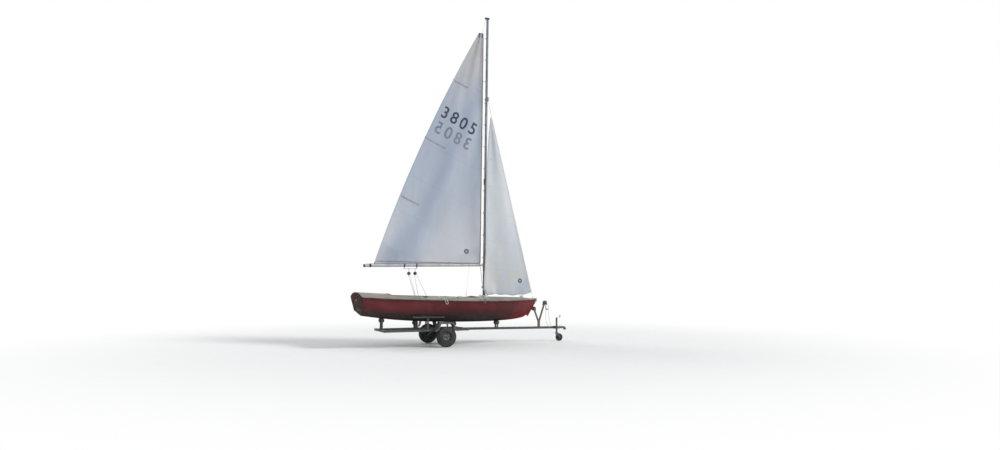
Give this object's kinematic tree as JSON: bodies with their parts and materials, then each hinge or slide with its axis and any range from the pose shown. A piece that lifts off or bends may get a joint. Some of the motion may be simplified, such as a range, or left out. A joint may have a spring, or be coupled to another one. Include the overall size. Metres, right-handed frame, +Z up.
{
  "type": "two-person hard-chine plywood sailing dinghy on its road trailer",
  "caption": "Hard-chine plywood racing dinghy with red topsides and cream decks, mainsail and jib hoisted, standing on its galvanised single-axle trailer.",
  "frame": {"origin": "on the ground under the middle of the whole outline", "axes": "+X to the bow and the tow coupling, +Y to port, +Z up"},
  "size_m": [5.8138, 1.596, 8.6449],
  "materials": {
    "topside_paint": "faded red gloss paint on plywood",
    "bottom_paint": "dull dark red-brown bottom paint on plywood",
    "deck_paint": "chalky cream-grey deck paint on plywood",
    "varnished_wood": "worn varnish",
    "transom_wood": "dark brown varnish, weathered",
    "spar_alloy": "weathered anodised alloy",
    "fitting_steel": "satin stainless steel",
    "black_plastic": "matt black plastic",
    "sailcloth": "woven polyester sailcloth",
    "galvanised": "dull hot-dip galvanised steel",
    "rubber_black": "aged black rubber",
    "tyre_rubber": "black tyre rubber",
    "carpet": "dark grey marine carpet",
    "webbing": "pale woven polyester webbing"
  },
  "bodies": {
    "root": {"aft_bulkhead": "deck_paint", "afterdeck": "deck_paint", "axle": "galvanised", "bow_fitting": "fitting_steel", "bow_snubber": "rubber_black", "bunk_posts": "galvanised", "bunks": "carpet", "centreboard": "varnished_wood", "centreboard_case": "varnished_wood", "chainplates": "fitting_steel", "cockpit_coaming": "deck_paint", "coupling": "galvanised", "cross_members": "galvanised", "drawbar": "galvanised", "floorboards": "varnished_wood", "fore_bulkhead": "deck_paint", "foredeck": "deck_paint", "forestay": "fitting_steel", "gooseneck_bracket": "fitting_steel", "hounds_fitting": "fitting_steel", "hull_bottom": "bottom_paint", "jib": "sailcloth", "jockey_clamp": "galvanised", "jockey_tube": "galvanised", "keel_batten": "bottom_paint", "keel_rollers": "rubber_black", "mast": "spar_alloy", "mast_step": "fitting_steel", "masthead_cap": "black_plastic", "mudguard_stays": "galvanised", "mudguards": "galvanised", "roller_brackets": "galvanised", "rubbing_strakes": "varnished_wood", "rudder_gudgeons": "fitting_steel", "shroud_port": "fitting_steel", "shroud_starboard": "fitting_steel", "side_deck_port": "deck_paint", "side_deck_starboard": "deck_paint", "side_rails": "galvanised", "stem": "topside_paint", "thwart": "varnished_wood", "topside_port": "topside_paint", "topside_starboard": "topside_paint", "transom": "transom_wood", "winch": "galvanised", "winch_post": "galvanised", "winch_strap": "webbing"},
    "boom": {"boom": "spar_alloy", "boom_end_cap": "black_plastic", "gooseneck_tongue": "fitting_steel", "mainsail": "sailcloth", "mainsheet_blocks": "black_plastic", "mainsheet_bail": "fitting_steel"},
    "wheel_left": {"rim_left": "galvanised", "tyre_left": "tyre_rubber"},
    "wheel_right": {"rim_right": "galvanised", "tyre_right": "tyre_rubber"},
    "jockey_fork": {"jockey_fork": "galvanised"},
    "jockey_wheel": {"jockey_wheel": "rubber_black"}
  },
  "joints": [
    {"name": "boom_swing", "type": "hinge", "parent": "root", "child": "boom", "pos_m": [0.42354, 0, 2.02335], "axis": [0.0134, 0, 0.9999], "range_deg": [-65, 65]},
    {"name": "wheel_left_spin", "type": "hinge", "parent": "root", "child": "wheel_left", "pos_m": [-0.80508, 0.7, 0.25], "axis": [0, 1, 0], "continuous": true},
    {"name": "wheel_right_spin", "type": "hinge", "parent": "root", "child": "wheel_right", "pos_m": [-0.80508, -0.7, 0.25], "axis": [0, 1, 0], "continuous": true},
    {"name": "jockey_swivel", "type": "hinge", "parent": "root", "child": "jockey_fork", "pos_m": [2.57492, -0.082, 0.225], "axis": [0, 0, 1], "continuous": true},
    {"name": "jockey_spin", "type": "hinge", "parent": "jockey_fork", "child": "jockey_wheel", "pos_m": [2.64692, -0.082, 0.1], "axis": [0, 1, 0], "continuous": true}
  ]
}
